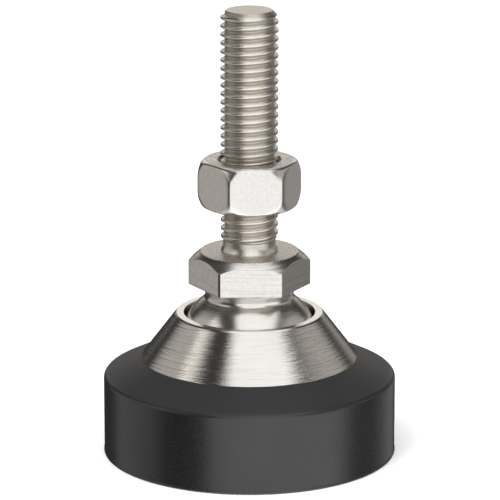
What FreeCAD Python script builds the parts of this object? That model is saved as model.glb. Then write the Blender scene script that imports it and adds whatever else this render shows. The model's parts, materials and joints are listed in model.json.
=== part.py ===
import FreeCAD, Part
import os
from math import asin, cos, degrees, radians, sin, sqrt, tan

from FreeCAD import Vector

# Swivelling furniture leveling foot: a rubber-soled turned base, a ball-ended M12 spindle with a
# spanner hex, and a lock nut. Millimetres, +Z up, origin on the floor at the centre of the sole.

# Thread of the spindle and of the lock nut (M12, coarse, right-hand)
PITCH = 1.75
CREST_R = 5.9             # outside of the spindle's thread
ROOT_R = 4.93             # bottom of the spindle's groove
ROOT_WIDTH = 0.3          # width of the groove's flat bottom
FLANK_SLOPE = 2 * tan(radians(30))   # growth of the groove's width per mm of radius
BLANK_R = 5.37            # unthreaded neck that the thread is rolled from
NUT_BORE_R = 5.06         # crests of the nut's thread
NUT_ROOT_R = 6.03
FLANK_PLAY = 0.21         # axial play between the two threads
CUT_TOLERANCE = 1e-4
OVERCUT = 0.2             # how far a cutting groove stands outside its rod
SPARE_TURNS = 1.5         # how far a cutting groove runs past the end of its rod
FACE_TURNS = 4            # longest helical face, in turns
FIRST_SPLIT = 0.9         # from the thread's start to where the first such length is counted from

# Spindle
BALL_CENTRE_Z = 21.0
BALL_R = 15.0
BUTTON_R = 10.5           # small ball under the large one, same centre, carries the load
BUTTON_FLAT_Z = 10.7      # turned flat at the button's pole
SHOULDER_Z = 19.3         # underside of the large ball
WAIST_R = 9.1             # waist between ball and hex
HEX_FLATS = 22.0
HEX_CORNER_R = 12.5
HEX_BOTTOM_Z = 35.5
HEX_TOP_Z = 42.6
HEX_FACE_R = 10.0         # circle left on top by the chamfer
HEX_CHAMFER_SLOPE = 0.84  # drop per mm of radius
HEX_TURN = 0.65           # degrees about Z
FLARE_R = 6.4             # foot of the stud on the hex
FLARE_STEP = 0.15         # short upright edge at the flare's foot
FLARE_MIDDLE = (5.67, 43.2)
FLARE_TOP_Z = 43.9
THREAD_START_Z = 45.7
STUD_TOP_Z = 92.7
TIP_R = 4.65
MERGE = 0.5               # how far ball and stud run into the hex, so that the three are one piece

# Lock nut
NUT_FLATS = 19.0
NUT_BOTTOM_Z = 51.9
NUT_TOP_Z = 61.9
NUT_CORNER_R = 10.75
NUT_CORNER_ROUND = 1.9    # upright edges
NUT_EDGE_ROUND = 0.8      # rims of both end faces
NUT_FACE_R = 9.9          # where the corner chamfer meets an end face
NUT_CHAMFER_SLOPE = 0.62
NUT_SINK_R = 6.6          # 90 degree countersink at each end
NUT_TURN = 8.0            # degrees about Z

# Turned base
BASE_BOTTOM_Z = 4.0
RING_TOP_Z = 29.6
RING_OUTER_R = 15.12
MOUTH_R = 13.5
RIM_BREAK = 0.2           # small chamfers on the ring's edges
CONE_FOOT_R = 22.2
CONE_FOOT_Z = 20.2
NECK_FOOT_Z = 17.4        # upright step that the rubber closes on
FLANGE_R = 26.4
FLANGE_TOP_Z = 15.4
SOCKET_PLAY = 0.1         # round the large ball
CAVITY_R = 16.0
SEAT_BORE_R = 18.0
SEAT_SHOULDER_Z = 13.4

# Bearing under the ball
CUP_PLAY = 0.08
CUP_WALL = 1.8
CUP_RIM_ANGLE = 45.0      # from the downward axis
CUP_HOLE_R = 2.6          # grease hole
SEAT_PLAY = 0.05
SEAT_BOTTOM_Z = 6.2
SEAT_END_PLAY = 0.1       # above and below the seat
SEAT_TOP_Z = SEAT_SHOULDER_Z - SEAT_END_PLAY
RING_THICK = 1.5
RING_IN_R = 16.2
RING_OUT_R = 19.0
RING_GAP = 18.0           # half angle of the opening, degrees
LUG_R = 2.1
LUG_HOLE_R = 0.9
LUG_INSET = 0.6           # overlap of a lug's disc with the ring
GROOVE_PLAY = 0.1

# Rubber boot
PAD_R = 30.1
LIP_R = 30.2              # flash line near the floor
LIP_TOP_Z = 0.5
LIP_BREAK = 0.15
LIP_RISE = 0.1
PAD_WALL_TOP_Z = 15.3
PAD_ROUND_MIDDLE = (29.84, 16.3)   # on the rounding between wall and shoulder
PAD_SHOULDER_R = 29.0
PAD_SHOULDER_Z = 16.85
TREAD_RADII = (12.0, 17.0, 22.0, 27.0)
TREAD_WIDTH = 1.6
TREAD_DEPTH = 1.1


def turned(*steps):
    """Solid of revolution about Z. A step is a point (r, z), or a pair of points
    ((r, z), (r, z)) for an arc through the first to the second. The outline closes itself."""
    edges = []
    here = first = Vector(steps[0][0], 0, steps[0][1])
    for step in steps[1:]:
        if isinstance(step[0], tuple):
            through, end = (Vector(r, 0, z) for r, z in step)
            edges.append(Part.Arc(here, through, end).toShape())
        else:
            end = Vector(step[0], 0, step[1])
            edges.append(Part.makeLine(here, end))
        here = end
    if (here - first).Length > 1e-6:
        edges.append(Part.makeLine(here, first))
    face = Part.Face(Part.Wire(edges))
    return face.revolve(Vector(0, 0, 0), Vector(0, 0, 1), 360)


def on_ball(radius, z):
    """Point (r, z) at height z on a ball about the swivel centre."""
    return (sqrt(radius ** 2 - (z - BALL_CENTRE_Z) ** 2), z)


def ball_arc(radius, z_from, z_to):
    """Arc step along such a ball, from height z_from to z_to."""
    angles = [asin((z - BALL_CENTRE_Z) / radius) for z in (z_from, z_to)]
    middle = sum(angles) / 2
    through = (radius * cos(middle), BALL_CENTRE_Z + radius * sin(middle))
    return (through, on_ball(radius, z_to))


def hexagon(flats, z0, z1, turn):
    """Upright hexagonal prism with a flat facing -Y before it is turned."""
    corner_r = flats / sqrt(3)
    angles = [radians(60 * k + turn) for k in range(6)]
    loop = [Vector(corner_r * cos(a), corner_r * sin(a), z0) for a in angles]
    return Part.Face(Part.makePolygon(loop + loop[:1])).extrude(Vector(0, 0, z1 - z0))


def groove_width(radius, play=0.0):
    """Axial width of the spindle's groove at a radius, less the play where a nut's ridge fills it."""
    return ROOT_WIDTH + (radius - ROOT_R) * FLANK_SLOPE - play


def thread_groove(root_r, outer_r, start_z, end_z, play=0.0):
    """Right-hand helical bar of the groove's section from root_r out to outer_r, in step with
    the spindle's thread, which passes THREAD_START_Z at +X."""
    first_turn = round((start_z - THREAD_START_Z) / PITCH)
    turns = (end_z - THREAD_START_Z) / PITCH - first_turn
    path = Part.makeHelix(PITCH, PITCH * turns, root_r)
    inner, outer = groove_width(root_r, play) / 2, groove_width(outer_r, play) / 2
    section = Part.makePolygon([
        Vector(root_r, 0, -inner), Vector(outer_r, 0, -outer), Vector(outer_r, 0, outer),
        Vector(root_r, 0, inner), Vector(root_r, 0, -inner),
    ])
    bar = Part.Wire(path.Edges).makePipeShell([section], True, True)
    bar.translate(Vector(0, 0, THREAD_START_Z + PITCH * first_turn))
    return bar


def cut_thread(rod, groove):
    """The rod less the groove. The small tolerance makes the long helical faces meet cleanly."""
    threaded = rod.cut([groove], CUT_TOLERANCE)
    if not 0.5 < threaded.Volume / rod.Volume < 0.95:
        raise RuntimeError("the thread was not cut")
    return threaded


def in_lengths(solid, start_z, length):
    """The same solid with its helical faces divided every so often above start_z: it is cut into
    lengths that are joined again. Inside and outside are told apart more surely on short faces."""
    box = solid.BoundBox
    count = int((box.ZMax - start_z) / length)
    heights = [start_z + length * k for k in range(1, count + 1)]
    ends = [box.ZMin - 1, *heights, box.ZMax + 1]
    width = 2 * box.XLength
    slabs = [
        Part.makeBox(width, width, high - low, Vector(-width / 2, -width / 2, low))
        for low, high in zip(ends, ends[1:])
    ]
    lengths = [solid.common(slab) for slab in slabs]
    return lengths[0].multiFuse(lengths[1:])


def spindle():
    """Ball, waist, spanner hex and threaded stud in one forging."""
    waist_z = BALL_CENTRE_Z + sqrt(BALL_R ** 2 - WAIST_R ** 2)
    body = turned(
        (0, BUTTON_FLAT_Z),
        on_ball(BUTTON_R, BUTTON_FLAT_Z),
        ball_arc(BUTTON_R, BUTTON_FLAT_Z, SHOULDER_Z),
        on_ball(BALL_R, SHOULDER_Z),
        ball_arc(BALL_R, SHOULDER_Z, waist_z),
        (WAIST_R, HEX_BOTTOM_Z + MERGE),
        (0, HEX_BOTTOM_Z + MERGE),
    )
    corner_z = HEX_TOP_Z - (HEX_CORNER_R - HEX_FACE_R) * HEX_CHAMFER_SLOPE
    blank = turned(
        (0, HEX_BOTTOM_Z), (HEX_CORNER_R, HEX_BOTTOM_Z), (HEX_CORNER_R, corner_z),
        (HEX_FACE_R, HEX_TOP_Z), (0, HEX_TOP_Z),
    )
    hex_part = hexagon(HEX_FLATS, HEX_BOTTOM_Z, HEX_TOP_Z, HEX_TURN).common(blank)
    chamfer = CREST_R - TIP_R
    run_in = CREST_R - BLANK_R
    stud = turned(
        (0, HEX_TOP_Z - MERGE), (FLARE_R, HEX_TOP_Z - MERGE), (FLARE_R, HEX_TOP_Z + FLARE_STEP),
        (FLARE_MIDDLE, (BLANK_R, FLARE_TOP_Z)),
        (BLANK_R, THREAD_START_Z - run_in), (CREST_R, THREAD_START_Z),
        (CREST_R, STUD_TOP_Z - chamfer), (TIP_R, STUD_TOP_Z), (0, STUD_TOP_Z),
    )
    groove = thread_groove(
        ROOT_R, CREST_R + OVERCUT, THREAD_START_Z, STUD_TOP_Z + SPARE_TURNS * PITCH
    )
    whole = body.fuse(hex_part).fuse(cut_thread(stud, groove)).removeSplitter()
    return in_lengths(whole, THREAD_START_Z + FIRST_SPLIT, FACE_TURNS * PITCH)


def nut_tap():
    """Threaded rod that fills the nut's bore, in step with the spindle's thread."""
    rod = Part.makeCylinder(NUT_ROOT_R, NUT_TOP_Z - NUT_BOTTOM_Z + 2, Vector(0, 0, NUT_BOTTOM_Z - 1))
    rod.rotate(Vector(0, 0, 0), Vector(0, 0, 1), 180)   # its seam stays off the groove's start
    groove = thread_groove(
        NUT_BORE_R, NUT_ROOT_R + OVERCUT, NUT_BOTTOM_Z - SPARE_TURNS * PITCH,
        NUT_TOP_Z + SPARE_TURNS * PITCH, FLANK_PLAY,
    )
    return cut_thread(rod, groove)


def lock_nut():
    """Cold-formed hexagon nut with rounded corners, tapped to fit the spindle."""
    prism = hexagon(NUT_FLATS, NUT_BOTTOM_Z, NUT_TOP_Z, NUT_TURN)
    upright = [e for e in prism.Edges if abs(e.Vertexes[0].Z - e.Vertexes[-1].Z) > 1]
    prism = prism.makeFillet(NUT_CORNER_ROUND, upright)
    ends = [f for f in prism.Faces if f.BoundBox.ZLength < 1e-6]
    prism = prism.makeFillet(NUT_EDGE_ROUND, [e for f in ends for e in f.Edges])
    drop = (NUT_CORNER_R - NUT_FACE_R) * NUT_CHAMFER_SLOPE
    barrel = turned(
        (0, NUT_BOTTOM_Z), (NUT_FACE_R, NUT_BOTTOM_Z), (NUT_CORNER_R, NUT_BOTTOM_Z + drop),
        (NUT_CORNER_R, NUT_TOP_Z - drop), (NUT_FACE_R, NUT_TOP_Z), (0, NUT_TOP_Z),
    )
    nut = prism.common(barrel).cut(nut_tap())
    for end_z, inward in ((NUT_BOTTOM_Z, 1), (NUT_TOP_Z, -1)):
        cone = Part.makeCone(NUT_SINK_R, 0, NUT_SINK_R, Vector(0, 0, end_z), Vector(0, 0, inward))
        nut = nut.cut(cone)
    return nut


def swivel_base():
    """Turned cone with the ball socket, the bearing bore and a flange inside the rubber."""
    socket_r = BALL_R + SOCKET_PLAY
    mouth_z = BALL_CENTRE_Z + sqrt(socket_r ** 2 - MOUTH_R ** 2)
    groove_top_z = SEAT_BOTTOM_Z - SEAT_END_PLAY + GROOVE_PLAY / 2
    groove_low_z = groove_top_z - RING_THICK - GROOVE_PLAY
    groove_r = RING_OUT_R + GROOVE_PLAY
    return turned(
        (SEAT_BORE_R, BASE_BOTTOM_Z), (FLANGE_R, BASE_BOTTOM_Z), (FLANGE_R, FLANGE_TOP_Z),
        (CONE_FOOT_R, NECK_FOOT_Z), (CONE_FOOT_R, CONE_FOOT_Z),
        (RING_OUTER_R + RIM_BREAK, RING_TOP_Z - RIM_BREAK), (RING_OUTER_R, RING_TOP_Z),
        (MOUTH_R + RIM_BREAK, RING_TOP_Z), (MOUTH_R, RING_TOP_Z - RIM_BREAK), (MOUTH_R, mouth_z),
        ball_arc(socket_r, mouth_z, BALL_CENTRE_Z),
        (CAVITY_R, BALL_CENTRE_Z), (CAVITY_R, SEAT_SHOULDER_Z), (SEAT_BORE_R, SEAT_SHOULDER_Z),
        (SEAT_BORE_R, groove_top_z), (groove_r, groove_top_z), (groove_r, groove_low_z),
        (SEAT_BORE_R, groove_low_z), (SEAT_BORE_R, BASE_BOTTOM_Z),
    )


def ball_cup():
    """Thin plastic bearing shell between the button and the thrust seat."""
    inner_r = BUTTON_R + CUP_PLAY
    outer_r = inner_r + CUP_WALL
    rim = radians(CUP_RIM_ANGLE)
    rim_in_z = BALL_CENTRE_Z - inner_r * cos(rim)
    rim_out_z = BALL_CENTRE_Z - outer_r * cos(rim)
    hole_in_z = BALL_CENTRE_Z - sqrt(inner_r ** 2 - CUP_HOLE_R ** 2)
    hole_out_z = BALL_CENTRE_Z - sqrt(outer_r ** 2 - CUP_HOLE_R ** 2)
    return turned(
        (CUP_HOLE_R, hole_out_z), ball_arc(outer_r, hole_out_z, rim_out_z),
        on_ball(inner_r, rim_in_z), ball_arc(inner_r, rim_in_z, hole_in_z),
        (CUP_HOLE_R, hole_out_z),
    )


def thrust_seat():
    """Steel disc with a hollow seat for the cup; it turns freely in the base's bore."""
    hollow_r = BUTTON_R + 2 * CUP_PLAY + CUP_WALL
    pole_z = BALL_CENTRE_Z - hollow_r
    return turned(
        (0, SEAT_BOTTOM_Z), (SEAT_BORE_R - SEAT_PLAY, SEAT_BOTTOM_Z),
        (SEAT_BORE_R - SEAT_PLAY, SEAT_TOP_Z), on_ball(hollow_r, SEAT_TOP_Z),
        ball_arc(hollow_r, SEAT_TOP_Z, pole_z), (0, SEAT_BOTTOM_Z),
    )


def retaining_ring():
    """Internal snap ring with two plier lugs, sprung into the base's groove."""
    top_z = SEAT_BOTTOM_Z - SEAT_END_PLAY
    bottom_z = top_z - RING_THICK
    ring = Part.makeCylinder(RING_OUT_R, RING_THICK, Vector(0, 0, bottom_z))
    ring = ring.cut(Part.makeCylinder(RING_IN_R, RING_THICK, Vector(0, 0, bottom_z)))
    reach = RING_OUT_R + 2
    half_width = reach * tan(radians(RING_GAP))
    wedge = Part.Face(Part.makePolygon([
        Vector(0, 0, bottom_z), Vector(reach, -half_width, bottom_z),
        Vector(reach, half_width, bottom_z), Vector(0, 0, bottom_z),
    ])).extrude(Vector(0, 0, RING_THICK))
    ring = ring.cut(wedge)
    for side in (-1, 1):
        angle = radians(side * (RING_GAP + degrees(LUG_R / RING_IN_R)))
        middle = RING_IN_R + LUG_INSET - LUG_R / 2
        place = Vector(middle * cos(angle), middle * sin(angle), bottom_z)
        ring = ring.fuse(Part.makeCylinder(LUG_R, RING_THICK, place))
        ring = ring.cut(Part.makeCylinder(LUG_HOLE_R, RING_THICK, place))
    return ring.removeSplitter()


def rubber_pad():
    """Moulded rubber boot: sole with ring treads, wall, rounded shoulder and sloping top."""
    boot = turned(
        (0, 0), (LIP_R - LIP_BREAK, 0), (LIP_R, LIP_BREAK), (LIP_R, LIP_TOP_Z - LIP_RISE),
        (PAD_R, LIP_TOP_Z), (PAD_R, PAD_WALL_TOP_Z),
        (PAD_ROUND_MIDDLE, (PAD_SHOULDER_R, PAD_SHOULDER_Z)),
        (CONE_FOOT_R, CONE_FOOT_Z), (CONE_FOOT_R, NECK_FOOT_Z), (FLANGE_R, FLANGE_TOP_Z),
        (FLANGE_R, BASE_BOTTOM_Z), (0, BASE_BOTTOM_Z),
    )
    for radius in TREAD_RADII:
        low, high = radius - TREAD_WIDTH / 2, radius + TREAD_WIDTH / 2
        boot = boot.cut(turned(
            (low, -1), (high, -1), (high, TREAD_DEPTH), (low, TREAD_DEPTH), (low, -1),
        ))
    return boot


os.makedirs("parts", exist_ok=True)
for make in (rubber_pad, swivel_base, retaining_ring, thrust_seat, ball_cup, spindle, lock_nut):
    solid = make()
    if not solid.isValid() or len(solid.Solids) != 1:
        raise RuntimeError(f"{make.__name__} is not one valid solid")
    solid.Solids[0].exportStep(f"parts/{make.__name__}.step")
    print(make.__name__, round(solid.Volume, 1), "mm3", len(solid.Faces), "faces")
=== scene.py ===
"""Looks of a swivelling leveling foot: turned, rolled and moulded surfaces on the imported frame."""
import json
from math import comb, cos, pi, radians, sin, sqrt, tan

import bpy
import numpy as np
from bpy.props import FloatProperty, FloatVectorProperty, PointerProperty
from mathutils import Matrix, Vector


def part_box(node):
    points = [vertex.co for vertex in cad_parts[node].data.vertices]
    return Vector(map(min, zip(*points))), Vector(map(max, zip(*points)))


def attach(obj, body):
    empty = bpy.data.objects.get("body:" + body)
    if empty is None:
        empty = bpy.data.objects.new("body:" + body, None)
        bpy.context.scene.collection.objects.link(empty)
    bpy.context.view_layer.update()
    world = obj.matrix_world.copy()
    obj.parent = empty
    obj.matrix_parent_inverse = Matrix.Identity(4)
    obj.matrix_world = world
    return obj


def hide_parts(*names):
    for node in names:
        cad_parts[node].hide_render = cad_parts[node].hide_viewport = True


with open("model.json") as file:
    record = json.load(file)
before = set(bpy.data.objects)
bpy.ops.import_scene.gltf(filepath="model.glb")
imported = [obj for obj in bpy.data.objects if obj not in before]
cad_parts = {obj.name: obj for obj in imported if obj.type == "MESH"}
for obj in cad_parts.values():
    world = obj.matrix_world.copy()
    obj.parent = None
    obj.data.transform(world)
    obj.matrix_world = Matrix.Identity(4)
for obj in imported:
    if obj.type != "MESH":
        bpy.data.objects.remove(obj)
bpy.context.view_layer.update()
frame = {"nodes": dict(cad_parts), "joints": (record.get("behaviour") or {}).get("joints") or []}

bl_info = {
    "name": "Leveling foot",
    "version": (1, 0, 0),
    "blender": (4, 5, 0),
    "location": "3D View > Sidebar > Leveling foot",
    "description": "Builds the shown surfaces and finishes of a swivelling furniture leveling foot",
    "category": "Add Mesh",
}

MM = 0.001
SPINDLE_LOW, SPINDLE_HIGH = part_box("spindle")
NUT_LOW, NUT_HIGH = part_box("lock_nut")
BASE_LOW, BASE_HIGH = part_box("swivel_base")
PAD_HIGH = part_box("rubber_pad")[1]
BALL_CENTRE_Z = frame["joints"][0]["pos_m"][2]
TIP_Z = SPINDLE_HIGH.z
FLANK_SLOPE = 2 * tan(radians(30))   # growth of the thread groove's width per unit of radius


# ---------------------------------------------------------------- surfaces

def soft_min(a, b, width):
    """The smaller of a and b, with the corner between them rounded over about that width."""
    share = np.clip(0.5 + 0.5 * (b - a) / width, 0, 1)
    return b * (1 - share) + a * share - width * share * (1 - share)


def soft_max(a, b, width):
    """The larger of a and b, with the corner between them rounded over about that width."""
    return -soft_min(-a, -b, width)


def angles(count):
    """Evenly spaced angles round the axis, as a row."""
    return np.linspace(0, 2 * pi, count, endpoint=False)[None, :]


def outline(corners, step=radians(9)):
    """Open outline (radius, height) through corners (radius, height, rounding). Each rounded corner
    is an arc of that radius that touches both of its straight runs, and each run gets a point just
    past the arcs so that it shades flat."""
    points = np.array([c[:2] for c in corners])
    out = []
    last = len(points) - 1
    for i, (point, rounding) in enumerate(zip(points, [c[2] for c in corners])):
        if i in (0, last):
            out.append(point)
            continue
        before, after = points[i - 1] - point, points[i + 1] - point
        long_before, long_after = np.hypot(*before), np.hypot(*after)
        before, after = before / long_before, after / long_after
        half = np.arccos(np.clip(before @ after, -1, 1)) / 2
        reach = rounding / tan(half)
        centre = point + (before + after) / np.hypot(*(before + after)) * rounding / sin(half)
        turn = pi - 2 * half
        share = np.linspace(0, 1, max(2, int(turn / step)) + 1)[:, None]
        start = point + before * reach - centre
        end = point + after * reach - centre
        swept = np.sin((1 - share) * turn) * start + np.sin(share * turn) * end
        arc = centre + swept / sin(turn)
        margin = rounding * 0.35
        if long_before > 2 * (reach + margin):
            out.append(point + before * (reach + margin))
        out.extend(arc)
        if long_after > 2 * (reach + margin):
            out.append(point + after * (reach + margin))
    return np.array(out)


def curve(points, count):
    """Bezier curve of (radius, height): its control points, each weighted by its Bernstein term."""
    t = np.linspace(0, 1, count)[:, None]
    last = len(points) - 1
    return sum(
        comb(last, k) * t ** k * (1 - t) ** (last - k) * np.array(p) for k, p in enumerate(points)
    )


def ball_points(radius, z_from, z_to, count=24):
    """Points (radius, height) along a ball about the swivel centre, from one height to another."""
    a0, a1 = (np.arcsin((z - BALL_CENTRE_Z) / radius) for z in (z_from, z_to))
    a = np.linspace(a0, a1, count)
    return np.stack([radius * np.cos(a), BALL_CENTRE_Z + radius * np.sin(a)], -1)


def carried_round(radius, height, angle):
    """Points x = r cos a, y = r sin a, z = h, where r and h are grids of (row, angle)."""
    radius, height, angle = np.broadcast_arrays(radius, height, angle)
    return np.stack([radius * np.cos(angle), radius * np.sin(angle), height], -1)


def turned(profile, count=192):
    """A profile of (radius, height) points carried round the axis."""
    return carried_round(profile[:, :1], profile[:, 1:], angles(count))


def add_piece(name, grid, body, replaced, material, ring=False):
    """A mesh from a grid of points (row, angle, xyz), riding on a body in place of a CAD node. The
    grid closes round the axis; its first and last rows join each other on a ring, and otherwise
    close on a single point each."""
    rows, columns = grid.shape[:2]
    here = np.arange(rows * columns).reshape(rows, columns)
    upper = np.roll(here, -1, 0) if ring else here[1:]
    lower = here if ring else here[:-1]
    quads = np.stack([lower, np.roll(lower, -1, 1), np.roll(upper, -1, 1), upper], -1)
    points = grid.reshape(-1, 3)
    faces = quads.reshape(-1, 4).tolist()
    if not ring:
        poles = np.stack([grid[0].mean(0), grid[-1].mean(0)])
        first, last = len(points), len(points) + 1
        start = np.stack([np.full(columns, first), np.roll(here[0], -1), here[0]], -1)
        end = np.stack([np.full(columns, last), here[-1], np.roll(here[-1], -1)], -1)
        faces += start.tolist() + end.tolist()
        points = np.vstack([points, poles])
    mesh = bpy.data.meshes.new(name)
    mesh.from_pydata(points.tolist(), [], faces)
    mesh.polygons.foreach_set("use_smooth", np.ones(len(mesh.polygons), bool))
    mesh.materials.append(material)
    mesh.update()
    piece = bpy.data.objects.new(name, mesh)
    bpy.context.scene.collection.objects.link(piece)
    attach(piece, body)
    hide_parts(replaced)


# ---------------------------------------------------------------- shader maths

class Wire:
    """A number coming out of a node. An expression on it adds Math nodes."""

    def __init__(self, graph, socket):
        self.graph, self.socket = graph, socket

    def math(self, operation, first, second=0.0):
        return self.graph.math(operation, first, second)

    def __add__(self, other):
        return self.math("ADD", self, other)

    def __sub__(self, other):
        return self.math("SUBTRACT", self, other)

    def __rsub__(self, other):
        return self.math("SUBTRACT", other, self)

    def __mul__(self, other):
        return self.math("MULTIPLY", self, other)

    def __truediv__(self, other):
        return self.math("DIVIDE", self, other)

    def __pow__(self, other):
        return self.math("POWER", self, other)

    __radd__ = __add__
    __rmul__ = __mul__

    def ramp(self, low, high):
        """0 below low, 1 above high, smooth between; low may be the larger."""
        return self.graph.node(
            "ShaderNodeMapRange", {"interpolation_type": "SMOOTHSTEP"},
            {"Value": self, "From Min": low, "From Max": high},
        )


class Graph:
    """One node tree and the few kinds of node that the finishes are made of."""

    def __init__(self, tree):
        self.tree = tree
        tree.nodes.clear()

    def node(self, kind, settings=None, inputs=None, output=0):
        """A node of a kind, its settings first, then values or links for its sockets."""
        made = self.tree.nodes.new(kind)
        for key, value in (settings or {}).items():
            setattr(made, key, value)
        for key, value in (inputs or {}).items():
            if isinstance(value, Wire):
                self.tree.links.new(value.socket, made.inputs[key])
            else:
                made.inputs[key].default_value = value
        return Wire(self, made.outputs[output])

    def math(self, operation, first, second=0.0):
        return self.node("ShaderNodeMath", {"operation": operation}, {0: first, 1: second})

    def coordinates(self):
        """Object coordinates as x, y, z in millimetres, and the distance from the axis."""
        place = self.node("ShaderNodeTexCoord", output="Object")
        x, y, z = (self.node("ShaderNodeSeparateXYZ", None, {0: place}, k) / MM for k in range(3))
        return x, y, z, (x * x + y * y) ** 0.5

    def vector(self, x, y, z):
        return self.node("ShaderNodeCombineXYZ", None, {0: x, 1: y, 2: z})

    def noise(self, vector, scale=1.0, detail=2.0, roughness=0.5):
        inputs = {"Vector": vector, "Scale": scale, "Detail": detail, "Roughness": roughness}
        return self.node("ShaderNodeTexNoise", None, inputs)

    def mix(self, share, first, second):
        """Colour between two colours."""
        return self.node(
            "ShaderNodeMix", {"data_type": "RGBA"}, {0: share, 6: first, 7: second}, 2
        )

    def bump(self, height, distance, strength=1.0, below=None):
        inputs = {"Height": height, "Distance": distance, "Strength": strength}
        if below is not None:
            inputs["Normal"] = below
        return self.node("ShaderNodeBump", None, inputs)

    def surface(self, **sockets):
        """The Principled shader and the material output."""
        inputs = {key.replace("_", " "): value for key, value in sockets.items()}
        shader = self.node("ShaderNodeBsdfPrincipled", None, inputs)
        self.node_output("ShaderNodeOutputMaterial", shader)

    def node_output(self, kind, shader):
        self.tree.links.new(shader.socket, self.tree.nodes.new(kind).inputs["Surface"])


def new_material(name):
    material = bpy.data.materials.new(name)
    material.use_nodes = True
    return material, Graph(material.node_tree)


def rgba(colour, factor=1.0):
    """A property's colour with an alpha of 1, made darker or lighter by a factor."""
    return (*(c * factor for c in colour), 1.0)


def ring_lines(graph, place, spacing, drift):
    """Noise that is nearly the same all round the axis and changes quickly along the profile:
    it varies over (r / spacing + drift cos a, z / spacing + drift sin a)."""
    x, y, z, radius = place
    across = radius / spacing + x / radius * drift
    along = z / spacing + y / radius * drift
    return graph.noise(graph.vector(across, along, 0.0), 1.0, 3.0, 0.6)


# ---------------------------------------------------------------- finishes

def turned_nickel(colours, name, lines, rough):
    """Nickel over a lathe-turned face: fine rings, a few deeper ones, and faint handling marks.
    lines is how strongly the rings show, and rough the finish's roughness between them."""
    material, g = new_material(name)
    place = g.coordinates()
    x, y, z, _ = place
    fine = ring_lines(g, place, 0.2, 2.0)
    feed = ring_lines(g, place, 0.6, 3.0)
    smudge = g.noise(g.vector(x, y, z), 0.12, 3.0, 0.55)
    grain = g.noise(g.vector(x, y, z), 9.0, 2.0, 0.6)
    feed_depth, fine_depth = 0.05 * MM * lines, 0.03 * MM * lines
    feed_tone, fine_tone = 0.30 * lines, 0.35 * lines
    below = g.bump(feed, feed_depth)
    normal = g.bump(fine * 0.8 + grain * 0.2, fine_depth, 1.0, below)
    tone = g.mix(smudge.ramp(0.3, 0.7), rgba(colours.nickel, 0.97), rgba(colours.nickel, 1.03))
    tone = g.mix(fine.ramp(0.52, 0.70) * fine_tone, tone, rgba(colours.streak))
    g.surface(
        Base_Color=g.mix(feed.ramp(0.52, 0.68) * feed_tone, tone, rgba(colours.streak)),
        Metallic=1.0, Normal=normal, Anisotropic=0.5, Anisotropic_Rotation=0.25,
        Roughness=fine * 0.12 + smudge * 0.04 + (rough - 0.1),
    )
    return material


def thread_nickel(colours):
    """Nickel on a rolled thread: smooth flanks, and dull grooves whose bottoms carry painted shade.
    """
    material, g = new_material("thread_nickel")
    x, y, z, radius = g.coordinates()
    # height is 0 at the groove bottoms and 1 near the crests: it lays painted shade into the grooves
    # and makes them rougher.
    height = radius.ramp(sizes().root / MM + 0.02, sizes().crest / MM - 0.15)
    patch = g.noise(g.vector(x, y, z), 0.5, 3.0, 0.6)
    grain = g.noise(g.vector(x, y, z * 2.0), 1.6, 4.0, 0.7)
    tone = g.mix(patch.ramp(0.3, 0.75), rgba(colours.nickel, 0.9), rgba(colours.nickel, 1.03))
    # Base colour: painted shade, the darker recess colour in the groove bottoms, blending into the
    # nickel up the flanks.
    g.surface(
        Base_Color=g.mix(height, rgba(colours.painted_recess_shade), tone),
        Metallic=1.0, Normal=g.bump(grain, 0.06 * MM, 0.8),
        Roughness=grain * 0.12 + (1.0 - height) * 0.14 + 0.16,
    )
    return material


def hex_nickel(colours):
    """Nickel on drawn bar: level tool lines on the flats, a sandy top face and chamfer."""
    material, g = new_material("hex_nickel")
    x, y, z, _ = g.coordinates()
    top_z = sizes().hex_top / MM
    top = z.ramp(top_z - 0.15, top_z - 0.05)
    flats = 1.0 - z.ramp(top_z - 0.7, top_z - 0.2)
    lines = g.noise(g.vector(x * 0.07, y * 0.07, z * 4.2), 1.0, 3.0, 0.65)
    coarse = g.noise(g.vector(x * 0.05, y * 0.05, z * 1.1), 1.0, 2.0, 0.5)
    sand = g.noise(g.vector(x, y, z), 2.3, 4.0, 0.8)
    patch = g.noise(g.vector(x, y, z), 1.2, 3.0, 0.6)
    height = lines * flats * 0.8 + coarse * flats * 0.6 + sand * (top * 1.6 + 0.25)
    shade = g.mix(patch.ramp(0.3, 0.7), rgba(colours.nickel, 0.95), rgba(colours.nickel, 1.03))
    shade = g.mix(flats * lines.ramp(0.52, 0.62) * 0.6, shade, rgba(colours.streak))
    chamfer = (1.0 - flats) * (1.0 - top)
    grit = (top + chamfer * 0.6) * sand.ramp(0.58, 0.46)
    g.surface(
        Base_Color=g.mix(grit, shade, rgba(colours.sand)),
        Metallic=1.0, Normal=g.bump(height, 0.035 * MM, 0.8),
        Roughness=top * 0.2 + lines * 0.08 + 0.18,
    )
    return material


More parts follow.
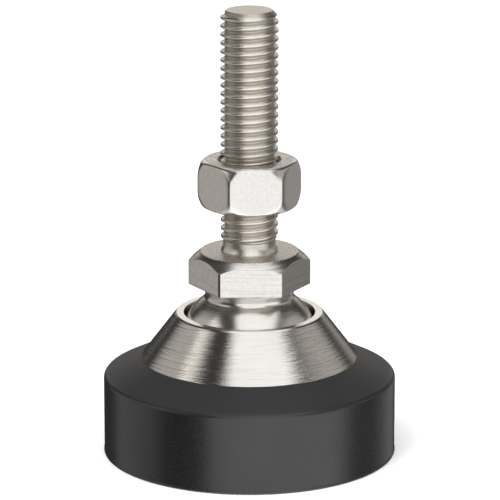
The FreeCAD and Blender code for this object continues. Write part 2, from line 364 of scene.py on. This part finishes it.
def nut_nickel(colours):
    """Nickel on a cold-formed nut: faint upright die marks on the flats, a sandy top face, and
    painted shade darkening the countersink and bore."""
    material, g = new_material("nut_nickel")
    x, y, z, radius = g.coordinates()
    top_z, sink = NUT_HIGH.z / MM, sizes().nut_sink / MM
    end = z.ramp(top_z - 0.12, top_z - 0.03)
    marks = g.noise(g.vector(x * 3.6, y * 3.6, z * 0.15), 1.0, 3.0, 0.6)
    sand = g.noise(g.vector(x, y, z), 1.5, 4.0, 0.8)
    patch = g.noise(g.vector(x, y, z), 1.5, 3.0, 0.6)
    # Painted shade: inside the countersink radius, the countersink and bore get the recess shade
    # colour at half brightness.
    bore = radius.ramp(sink + 0.1, sink - 0.3)
    shade = g.mix(patch.ramp(0.3, 0.7), rgba(colours.nut, 0.95), rgba(colours.nut, 1.03))
    shade = g.mix((1.0 - end) * marks.ramp(0.55, 0.7) * 0.2, shade, rgba(colours.streak))
    shade = g.mix(end * sand.ramp(0.58, 0.46), shade, rgba(colours.sand))
    g.surface(
        Base_Color=g.mix(bore, shade, rgba(colours.painted_recess_shade, 0.5)),
        Metallic=1.0, Normal=g.bump(marks * 0.45 + sand * (end * 1.5 + 0.3), 0.03 * MM, 0.6),
        Roughness=end * 0.16 + marks * 0.05 + 0.2,
    )
    return material


def moulded_rubber(colours):
    """Satin black rubber: fine speckle, faint flow shading, and a sheen that is stronger on the
    wall than on the top."""
    material, g = new_material("moulded_rubber")
    x, y, z, _ = g.coordinates()
    speck = g.noise(g.vector(x, y, z), 2.2, 4.0, 0.75)
    flow = g.noise(g.vector(x, y, z * 0.6), 0.08, 3.0, 0.5)
    pore = g.noise(g.vector(x, y, z), 9.0, 2.0, 0.5)
    dark = g.mix(flow.ramp(0.3, 0.7), rgba(colours.rubber, 0.8), rgba(colours.rubber, 1.2))
    shoulder = sizes().pad_shoulder / MM
    upper = z.ramp(shoulder - 0.75, shoulder + 0.85)
    g.surface(
        Base_Color=g.mix(speck.ramp(0.56, 0.70), dark, rgba(colours.rubber, 2.4)),
        Metallic=0.0, Normal=g.bump(speck * 0.6 + pore * 0.4, 0.05 * MM, 0.7),
        Roughness=flow * 0.1 + speck * 0.1 + upper * 0.2 + 0.18, Specular_IOR_Level=0.62,
        Coat_Weight=(1.0 - upper) * (flow * 0.3 + 0.2), Coat_Roughness=0.2,
    )
    return material


def inner_finish(name, colour, metallic, roughness, spacing):
    """Finish of a hidden bearing piece: its colour, a little mottled, over fine rings."""
    material, g = new_material(name)
    place = g.coordinates()
    x, y, z, _ = place
    mottle = g.noise(g.vector(x, y, z), 0.3, 3.0, 0.6)
    rings = ring_lines(g, place, spacing, 1.0)
    g.surface(
        Base_Color=g.mix(mottle.ramp(0.3, 0.7), rgba(colour, 0.88), rgba(colour, 1.06)),
        Metallic=metallic, Normal=g.bump(rings, 0.01 * MM, 0.6),
        Roughness=mottle * 0.1 + roughness,
    )
    return material


# ---------------------------------------------------------------- sizes and colours

def length(name, default_mm, description):
    return FloatProperty(
        name=name, description=description, default=default_mm * MM, unit="LENGTH", precision=5
    )


def colour(name, default, description):
    return FloatVectorProperty(
        name=name, description=description, default=default, subtype="COLOR", size=3, min=0, max=1
    )


class FootSizes(bpy.types.PropertyGroup):
    """Sizes of the shown surfaces that the frame's boxes don't give."""
    pitch: length("Pitch", 1.75, "Rise of the thread in one turn")
    crest: length("Crest radius", 5.9, "Outside radius of the spindle's thread")
    root: length("Root radius", 4.93, "Radius at the bottom of the spindle's groove")
    root_width: length("Root width", 0.3, "Width of the groove's bottom")
    blank: length("Neck radius", 5.37, "Radius of the unthreaded neck")
    thread_start: length("Thread start", 45.7, "Height of the lowest full thread")
    tip: length("Tip radius", 4.65, "Radius of the spindle's flat end")
    flare: length("Flare radius", 6.15, "Radius of the stud's foot on the hex")
    hex_flats: length("Hex across flats", 22.0, "Spanner size of the spindle's hex")
    hex_corner: length("Hex corner", 12.52, "Distance from the axis to a hex corner's small flat")
    hex_bottom: length("Hex bottom", 35.5, "Height of the hex's underside")
    hex_top: length("Hex top", 42.6, "Height of the hex's top face")
    hex_face: length("Hex face radius", 10.0, "Radius of the circle left by the chamfer")
    hex_edge: length("Hex edge", 0.07, "Rounding of the hex's edges")
    hex_under: length("Hex under edge", 0.12, "Rounding of the hex's lower edge")
    ball: length("Ball radius", 15.0, "Radius of the ball")
    button: length("Button radius", 10.5, "Radius of the small ball under the large one")
    shoulder: length("Shoulder height", 19.3, "Height of the large ball's underside")
    waist: length("Waist radius", 9.1, "Radius between ball and hex")
    nut_flats: length("Nut across flats", 19.0, "Spanner size of the lock nut")
    nut_corner: length("Nut corner radius", 10.72, "Distance from the axis to the nut's corners")
    nut_face: length("Nut face radius", 9.2, "Radius of the circle that the nut's chamfer leaves")
    nut_sink: length("Countersink radius", 6.6, "Radius of the nut's countersink")
    nut_bore: length("Nut bore radius", 5.06, "Radius of the nut's thread crests")
    nut_root: length("Nut root radius", 6.03, "Radius at the bottom of the nut's groove")
    mouth: length("Mouth radius", 13.5, "Inner radius of the base's ring")
    ring: length("Ring radius", 15.12, "Outer radius of the base's ring")
    cone_foot: length("Cone foot radius", 22.2, "Radius where the metal meets the rubber")
    cone_foot_z: length("Cone foot height", 20.2, "Height where the metal meets the rubber")
    cone_low_z: length("Cone low height", 17.4, "Height where the cone's foot meets the flange")
    flange_z: length("Flange height", 15.4, "Height of the flange's outer edge")
    cavity: length("Cavity radius", 16.0, "Radius of the space beside the ball")
    seat_bore: length("Seat bore radius", 18.0, "Radius of the bearing bore")
    seat_bore_z: length("Seat bore height", 13.4, "Height where the bearing bore ends")
    groove: length("Groove radius", 19.1, "Radius of the retaining ring's groove")
    groove_low: length("Groove low", 4.55, "Height of the groove's lower side")
    groove_high: length("Groove high", 6.15, "Height of the groove's upper side")
    pad: length("Pad radius", 30.1, "Radius of the rubber wall")
    pad_shoulder: length("Pad shoulder", 16.35, "Height where the rubber wall meets its top")
    pocket: length("Pocket radius", 26.4, "Radius of the rubber's pocket for the flange")
    pocket_floor: length("Pocket floor", 4.0, "Height of the pocket's floor")
    tread: length("Tread half width", 0.8, "Half the width of a groove in the sole")
    tread_depth: length("Tread depth", 1.1, "Depth of a groove in the sole")
    tread_first: length("First tread", 12.0, "Radius of the innermost groove in the sole")
    tread_step: length("Tread step", 5.0, "Distance from one groove in the sole to the next")


class FootColours(bpy.types.PropertyGroup):
    """Colours of the finishes and of the painted recess shade, linear."""
    nickel: colour("Nickel", (0.79, 0.76, 0.71), "Nickel plating on spindle and base")
    nut: colour("Nut", (0.80, 0.775, 0.735), "Nickel plating on the nut")
    sand: colour("Sand", (0.44, 0.40, 0.355), "Hollows of the sandy end faces")
    streak: colour("Streak", (0.58, 0.56, 0.52), "Tool lines")
    # Painted shade: laid into the thread grooves and, at half brightness, into the nut's countersink
    # and bore.
    painted_recess_shade: colour("Thread root", (0.62, 0.57, 0.50), "Bottom of the grooves")
    rubber: colour("Rubber", (0.007, 0.007, 0.0075), "Moulded rubber")
    steel: colour("Seat steel", (0.5, 0.49, 0.47), "Thrust seat")
    spring: colour("Spring steel", (0.16, 0.16, 0.17), "Retaining ring")
    acetal: colour("Acetal", (0.82, 0.8, 0.74), "Plastic ball cup")


class StudioSizes(bpy.types.PropertyGroup):
    """Camera and light."""
    distance: FloatProperty(name="Distance", description="Camera in front of the axis",
                            default=0.69336, unit="LENGTH", precision=5)
    height: FloatProperty(name="Height", description="Camera above the floor",
                          default=0.23048, unit="LENGTH", precision=5)
    side: FloatProperty(name="Side", description="Camera beside the axis",
                        default=0.00012, unit="LENGTH", precision=5)
    pitch: FloatProperty(name="Pitch", description="Camera's downward tilt",
                         default=radians(15.16), subtype="ANGLE")
    lens: FloatProperty(name="Lens", description="Focal length in millimetres on a 36 mm sensor",
                        default=252.4)


def sizes():
    return bpy.context.scene.foot_sizes


def colours():
    return bpy.context.scene.foot_colours


# ---------------------------------------------------------------- pieces

def thread_phase(angle, z):
    """Height above the middle of the nearest groove: the groove climbs one pitch a turn and
    passes the thread's start on the +X side."""
    s = sizes()
    rise = z - s.thread_start - s.pitch * angle / (2 * pi)
    return np.abs((rise + s.pitch / 2) % s.pitch - s.pitch / 2)


def hex_reach(angle, flats, turn):
    """Distance from the axis to a hexagon's side, flats / 2 divided by the cosine of the angle from
    the middle of that side, for a hexagon with one side facing -Y before it is turned."""
    off = (angle - turn + pi / 2 + pi / 6) % (pi / 3) - pi / 6
    return flats / 2 / np.cos(off), off


class FOOT_OT_threaded_stud(bpy.types.Operator):
    """Stud with its rolled thread, run-out, neck, flared foot and chamfered tip. Its radius is the
    smaller of the blank's outline r(z) and the helical groove's r(z - pitch a / 2 pi)"""
    bl_idname = "foot.threaded_stud"
    bl_label = "Threaded stud"

    def execute(self, context):
        s = sizes()
        crest_soft, root_soft, edge_soft = 0.10 * MM, 0.16 * MM, 0.05 * MM
        run_out, end_soft = 1.2 * MM, 0.12 * MM
        angle = angles(120)
        foot_z, neck_z = s.hex_top - 0.3 * MM, s.hex_top + 1.7 * MM
        z = np.concatenate([
            np.linspace(foot_z, s.thread_start - run_out, 22, endpoint=False),
            np.arange(s.thread_start - run_out, TIP_Z - 0.02 * MM, s.pitch / 20), [TIP_Z],
        ])[:, None]
        flare = np.clip((neck_z - z) / (neck_z - s.hex_top), 0, 1)
        neck = s.blank + (s.flare - s.blank) * flare ** 1.8
        run_in = s.crest - (s.thread_start - z).clip(0)
        envelope = soft_max(neck, run_in, end_soft)
        envelope = soft_min(envelope, s.crest, edge_soft)
        envelope = soft_min(envelope, s.tip + TIP_Z - z, end_soft)
        groove = s.root + (2 * thread_phase(angle, z) - s.root_width) / FLANK_SLOPE
        groove = soft_max(groove, s.root, root_soft)
        groove = soft_min(groove, s.crest, crest_soft)
        fade = np.clip((z - s.thread_start + 0.9 * MM) / (1.3 * s.pitch), 0, 1)
        groove = s.crest - (s.crest - groove) * fade ** 0.7
        radius = soft_min(envelope, groove, edge_soft)
        cap = np.array([0.985, 0.95, 0.5, 0.12])[:, None] * radius[-1:]
        height = np.vstack([z, np.full((len(cap), 1), TIP_Z)])
        grid = carried_round(np.vstack([radius, cap]), height, angle)
        add_piece("threaded_stud", grid, "spindle", "spindle",
                  thread_nickel(colours()))
        return {"FINISHED"}


class FOOT_OT_spanner_hex(bpy.types.Operator):
    """Spanner hex with small corner flats and a turned chamfer that cuts each side in a curve. Its
    radius is the smallest of side / cos a, corner / cos(30 degrees - a) and the chamfer's cone"""
    bl_idname = "foot.spanner_hex"
    bl_label = "Spanner hex"

    def execute(self, context):
        s = sizes()
        slope, turn, under = 0.84, radians(0.65), s.hex_under
        angle = angles(648) + turn
        side, off = hex_reach(angle, s.hex_flats, turn)
        corner = s.hex_corner / np.cos(pi / 6 - np.abs(off))
        side = soft_min(side, corner, s.hex_edge)
        meet = s.hex_top - (side - s.hex_face) * slope
        near = np.array([-0.3, -0.15, -0.08, -0.04, 0, 0.04, 0.08, 0.15])[:, None] * MM
        share = np.linspace(0, 1, 9)[:, None]
        low = s.hex_bottom + np.array([0, 0.03, 0.08, 0.16])[:, None] * MM + 0 * side
        middle = low[-1:] + (meet + near[:1] - low[-1:]) * share[1:-1]
        high = meet + near[-1:] + (s.hex_top - meet - near[-1:]) * share[1:]
        z = np.vstack([low, middle, meet + near, high])
        radius = soft_min(side, s.hex_face + (s.hex_top - z) / slope, s.hex_edge)
        below = np.clip(s.hex_bottom + under - z, 0, None)
        radius = radius - under + np.sqrt(np.clip(under ** 2 - below ** 2, 0, None))
        rim = np.array([0.4, 0.8, 0.97, 0.995])[:, None] * radius[:1]
        face = np.array([0.997, 0.985, 0.85, 0.5])[:, None] * radius[-1:]
        height = np.vstack([s.hex_bottom + 0 * rim, z, s.hex_top + 0 * face])
        grid = carried_round(np.vstack([rim, radius, face]), height, angle)
        add_piece("spanner_hex", grid, "spindle", "spindle",
                  hex_nickel(colours()))
        return {"FINISHED"}


class FOOT_OT_ball(bpy.types.Operator):
    """Waist and ball, with the small button under it that carries the load. Ball and button are
    circles about one centre, r = sqrt(R^2 - (z - centre)^2), and the waist is two Bezier curves"""
    bl_idname = "foot.ball"
    bl_label = "Ball"

    def execute(self, context):
        s = sizes()
        edge = s.waist + 0.25 * MM
        edge_z = BALL_CENTRE_Z + sqrt(s.ball ** 2 - edge ** 2)
        button = ball_points(s.button, SPINDLE_LOW.z, s.shoulder - 0.02 * MM)
        upper = ball_points(s.ball, s.shoulder + 0.02 * MM, edge_z - 0.05 * MM, 64)
        neck = curve([
            (edge, edge_z), (s.waist - 0.02 * MM, edge_z + 0.22 * MM),
            (s.waist + 0.02 * MM, edge_z + 0.85 * MM),
        ], 9)
        taper = curve([
            (s.waist + 0.03 * MM, edge_z + 0.95 * MM), (s.waist + 0.17 * MM, edge_z + 1.7 * MM),
            (s.waist + 0.5 * MM, s.hex_bottom), (s.waist + 0.6 * MM, s.hex_bottom + 0.3 * MM),
        ], 12)
        pole = [(button[0][0] / 2, SPINDLE_LOW.z)]
        profile = np.vstack([pole, button, upper, neck, taper])
        add_piece("ball", turned(profile), "spindle", "spindle",
                  turned_nickel(colours(), "ball_nickel", 0.5, 0.23))
        return {"FINISHED"}


class FOOT_OT_lock_nut(bpy.types.Operator):
    """Cold-formed lock nut with pillowed flats, countersinks and its own thread. Its outside is the
    smallest of the hexagon's side / cos a, a barrel and a chamfer cone, rounded into each other"""
    bl_idname = "foot.lock_nut"
    bl_label = "Lock nut"

    def execute(self, context):
        s = sizes()
        low, high = NUT_LOW.z, NUT_HIGH.z
        middle, half = (low + high) / 2, (high - low) / 2
        turn, slope, soft, rounding = radians(8), 0.62, 0.5 * MM, 0.55 * MM
        pillow, pillow_start, play = 1.2 * MM, 0.25, 0.21 * MM
        angle = angles(480)
        z = (middle + half * np.sin(np.linspace(-1, 1, 61) * pi / 2))[:, None]
        away = np.abs(z - middle) / half
        side, _ = hex_reach(angle, s.nut_flats, turn)
        share = np.clip((away - pillow_start) / (1 - pillow_start), 0, 1)
        barrel = s.nut_corner - pillow * share ** 2
        chamfer = s.nut_face + half * (1 - away) / slope
        radius = soft_min(soft_min(side, barrel, soft), chamfer, soft)
        dip = np.clip(rounding - (half - np.abs(z - middle)), 0, rounding)
        radius = radius - rounding + np.sqrt(rounding ** 2 - dip ** 2)
        face = np.linspace(1, 0, 8)[1:-1, None]
        rim_top, rim_low = radius[-1:], radius[:1]
        top = s.nut_sink + (rim_top - s.nut_sink) * face
        bottom = s.nut_sink + (rim_low - s.nut_sink) * (1 - face)
        wall_z = np.linspace(high, low, 111)[:, None]
        depth = half - np.abs(wall_z - middle)
        width = 2 * thread_phase(angle, wall_z) + play - s.root_width
        thread = s.root + width / FLANK_SLOPE
        thread = np.clip(thread, s.nut_bore, s.nut_root)
        wall = soft_max(thread, s.nut_sink - depth, 0.06 * MM)
        grid = carried_round(
            np.vstack([radius, top, wall, bottom]),
            np.vstack([z, np.full((len(face), 1), high), wall_z, np.full((len(face), 1), low)]),
            angle,
        )
        add_piece("lock_nut_shown", grid, "nut", "lock_nut",
                  nut_nickel(colours()), ring=True)
        return {"FINISHED"}


class FOOT_OT_swivel_base(bpy.types.Operator):
    """Turned cone with its ring, socket and bearing bore: straight runs, rounded corners and an arc
    of the socket's circle, carried round the axis"""
    bl_idname = "foot.swivel_base"
    bl_label = "Swivel base"

    def execute(self, context):
        s = sizes()
        low, top = BASE_LOW.z, BASE_HIGH.z
        flange, small, tiny = BASE_HIGH.x, 0.2 * MM, 0.04 * MM
        socket = s.ball + 0.1 * MM
        mouth_z = BALL_CENTRE_Z + sqrt(socket ** 2 - s.mouth ** 2)
        outside = outline([
            (s.seat_bore, low, 0), (flange, low, 0.3 * MM), (flange, s.flange_z, 0.5 * MM),
            (s.cone_foot, s.cone_low_z, 0.3 * MM), (s.cone_foot, s.cone_foot_z, 0.15 * MM),
            (s.ring + 0.22 * MM, top - 0.3 * MM, 0.08 * MM), (s.ring - 0.1 * MM, top, 0.06 * MM),
            (s.mouth, top, 0.12 * MM), (s.mouth, mouth_z, 0),
        ])
        inside = outline([
            (socket, BALL_CENTRE_Z, 0), (s.cavity, BALL_CENTRE_Z, 0.15 * MM),
            (s.cavity, s.seat_bore_z, small), (s.seat_bore, s.seat_bore_z, small),
            (s.seat_bore, s.groove_high, tiny), (s.groove, s.groove_high, tiny),
            (s.groove, s.groove_low, tiny), (s.seat_bore, s.groove_low, tiny),
            (s.seat_bore, low + 0.1 * MM, 0),
        ])
        profile = np.vstack([outside, ball_points(socket, mouth_z, BALL_CENTRE_Z)[1:-1], inside])
        add_piece("turned_base", turned(profile, 256), "base", "swivel_base",
                  turned_nickel(colours(), "base_nickel", 1.0, 0.17), ring=True)
        return {"FINISHED"}


class FOOT_OT_rubber_pad(bpy.types.Operator):
    """Moulded rubber boot with its sole, treads, wall, shoulder and sloping top: straight runs and
    rounded corners, carried round the axis"""
    bl_idname = "foot.rubber_pad"
    bl_label = "Rubber pad"

    def execute(self, context):
        s = sizes()
        lip, top = PAD_HIGH.x, PAD_HIGH.z
        tread_mouth, tread_root, tiny = 0.15 * MM, 0.2 * MM, 0.05 * MM
        start, cone = 1 * MM, s.cone_foot + 0.02 * MM
        treads = []
        for k in range(4):
            near = s.tread_first + k * s.tread_step - s.tread
            far = near + 2 * s.tread
            treads += [
                (near, 0, tread_mouth), (near, s.tread_depth, tread_root),
                (far, s.tread_depth, tread_root), (far, 0, tread_mouth),
            ]
        profile = outline([
            (start, 0, 0), *treads, (lip, 0, 0.4 * MM), (lip, 0.5 * MM, 0.08 * MM),
            (s.pad, 0.62 * MM, 0.06 * MM), (s.pad, s.pad_shoulder, 1.0 * MM),
            (cone + 0.1 * MM, top, 0.1 * MM), (cone, top - 0.15 * MM, tiny),
            (cone, s.cone_low_z, tiny), (s.pocket, s.flange_z, tiny),
            (s.pocket, s.pocket_floor, tiny), (start, s.pocket_floor, 0),
        ])
        add_piece("rubber_boot", turned(profile, 256), "base", "rubber_pad",
                  moulded_rubber(colours()))
        return {"FINISHED"}


class FOOT_OT_bearing_finishes(bpy.types.Operator):
    """Finishes of the bearing pieces inside the base, which keep their own shapes"""
    bl_idname = "foot.bearing_finishes"
    bl_label = "Bearing finishes"

    def execute(self, context):
        c = colours()
        finishes = {
            "thrust_seat": inner_finish("seat_steel", c.steel, 1.0, 0.28, 0.12),
            "ball_cup": inner_finish("cup_acetal", c.acetal, 0.0, 0.4, 0.5),
            "retaining_ring": inner_finish("ring_spring_steel", c.spring, 1.0, 0.38, 0.3),
        }
        for node, material in finishes.items():
            for place in frame["nodes"][node].material_slots:
                place.material = material
        return {"FINISHED"}


# ---------------------------------------------------------------- stage

def studio_world():
    """White sky for the eye and for dull faces. Shiny faces see a studio instead: a wide panel in
    front that reaches overhead, dark gaps on both sides of it, a lamp past the left gap, a canopy
    and a wall behind, grey walls at the sides, a pale table and floor below."""
    world = bpy.data.worlds.new("studio")
    world.use_nodes = True
    bpy.context.scene.world = world
    g = Graph(world.node_tree)
    way = g.node("ShaderNodeTexCoord", output="Generated")
    x, y, z = (g.node("ShaderNodeSeparateXYZ", None, {0: way}, k) for k in range(3))
    # Each ramp is one soft edge, between two values of a part of the unit direction.
    up = z.ramp(-0.1, 0.3)
    low = 1.0 - up
    side = g.math("ABSOLUTE", x)
    panel = up * x.ramp(-0.36, -0.30) * x.ramp(0.68, 0.56) * y.ramp(0.22, 0.02)
    table = low * x.ramp(-0.60, -0.44) * y.ramp(0.02, -0.30)
    canopy = up * side.ramp(0.42, 0.26) * y.ramp(0.02, 0.24) * 0.58
    wall = side.ramp(0.7, 0.3) * y.ramp(0.72, 0.92) * z.ramp(0.0, 0.2) * 0.36
    lamp = x.ramp(-0.65, -0.71) * x.ramp(-0.88, -0.80) * y.ramp(0.10, 0.0) * z.ramp(0.4, 0.55)
    floor = z.ramp(-0.45, -0.8) * 0.7
    left = x.ramp(-0.68, -0.80) * (up + low * y.ramp(-0.35, -0.05) * 0.86) * 0.45
    right = x.ramp(0.68, 0.81) * up * 0.41
    corner = low * x.ramp(0.25, 0.5) * y.ramp(-0.30, 0.0) * (y.ramp(0.3, 0.85) * 0.22 + 0.10)
    front = panel + table
    light = front * 1.1 + canopy + wall + lamp * 0.72 + left + right + corner + floor + 0.035
    tint = g.mix(front, (1.0, 0.965, 0.93, 1.0), (0.99, 1.0, 1.02, 1.0))
    ray = g.node("ShaderNodeLightPath", output="Is Glossy Ray")
    sky = g.node("ShaderNodeBackground", None, {"Color": (1, 1, 1, 1), "Strength": 1.06})
    walls = g.node("ShaderNodeBackground", None, {"Color": tint, "Strength": light})
    both = g.node("ShaderNodeMixShader", None, {0: ray, 1: sky, 2: walls})
    g.node_output("ShaderNodeOutputWorld", both)


def softbox(name, place, size, power):
    """A square lamp that faces the middle of the object. Shiny faces don't see it."""
    lamp = bpy.data.lights.new(name, "AREA")
    lamp.size, lamp.energy = size, power
    target = Vector((0, 0, 40 * MM))
    box = bpy.data.objects.new(name, lamp)
    box.location = place
    box.rotation_euler = (target - Vector(place)).to_track_quat("-Z", "Y").to_euler()
    box.visible_glossy = False
    bpy.context.scene.collection.objects.link(box)


class FOOT_OT_studio(bpy.types.Operator):
    """Pale floor, soft light and the camera"""
    bl_idname = "foot.studio"
    bl_label = "Studio"

    def execute(self, context):
        studio = context.scene.foot_studio
        reach = 4.0
        corners = [(-reach, -reach, 0), (reach, -reach, 0), (reach, reach, 0), (-reach, reach, 0)]
        mesh = bpy.data.meshes.new("floor")
        mesh.from_pydata(corners, [], [(0, 1, 2, 3)])
        material, g = new_material("pale_floor")
        g.surface(Base_Color=(0.95, 0.95, 0.95, 1.0), Roughness=0.9, Specular_IOR_Level=0.1)
        mesh.materials.append(material)
        floor = bpy.data.objects.new("floor", mesh)
        floor.visible_glossy = False
        context.scene.collection.objects.link(floor)
        studio_world()
        context.scene.view_settings.view_transform = "Standard"
        softbox("key", (-0.5, -0.7, 0.9), 0.7, 9.0)
        softbox("fill", (0.8, -0.4, 0.7), 0.9, 4.0)
        view = bpy.data.cameras.new("camera")
        view.lens, view.sensor_width, view.clip_start = studio.lens, 36.0, 0.01
        camera = bpy.data.objects.new("camera", view)
        camera.location = (studio.side, -studio.distance, studio.height)
        camera.rotation_euler = (pi / 2 - studio.pitch, 0, 0)
        context.scene.collection.objects.link(camera)
        context.scene.camera = camera
        return {"FINISHED"}


class FOOT_PT_panel(bpy.types.Panel):
    """Builds the foot piece by piece"""
    bl_idname = "FOOT_PT_panel"
    bl_label = "Leveling foot"
    bl_space_type = "VIEW_3D"
    bl_region_type = "UI"
    bl_category = "Leveling foot"

    def draw(self, context):
        for name in STEPS:
            self.layout.operator(f"foot.{name}")
        for group in (sizes(), colours(), context.scene.foot_studio):
            box = self.layout.box()
            for key in group.bl_rna.properties.keys():
                if key not in ("rna_type", "name"):
                    box.prop(group, key)


STEPS = ("studio", "rubber_pad", "swivel_base", "bearing_finishes", "ball", "spanner_hex",
         "threaded_stud", "lock_nut")
CLASSES = (
    FootSizes, FootColours, StudioSizes, FOOT_OT_threaded_stud, FOOT_OT_spanner_hex, FOOT_OT_ball,
    FOOT_OT_lock_nut, FOOT_OT_swivel_base, FOOT_OT_rubber_pad, FOOT_OT_bearing_finishes,
    FOOT_OT_studio, FOOT_PT_panel,
)


def register():
    for each in CLASSES:
        bpy.utils.register_class(each)
    bpy.types.Scene.foot_sizes = PointerProperty(type=FootSizes)
    bpy.types.Scene.foot_colours = PointerProperty(type=FootColours)
    bpy.types.Scene.foot_studio = PointerProperty(type=StudioSizes)


def unregister():
    for name in ("foot_sizes", "foot_colours", "foot_studio"):
        delattr(bpy.types.Scene, name)
    for each in reversed(CLASSES):
        bpy.utils.unregister_class(each)


def main():
    """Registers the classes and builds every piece."""
    register()
    for name in STEPS:
        getattr(bpy.ops.foot, name)()


if __name__ == "__main__":
    main()
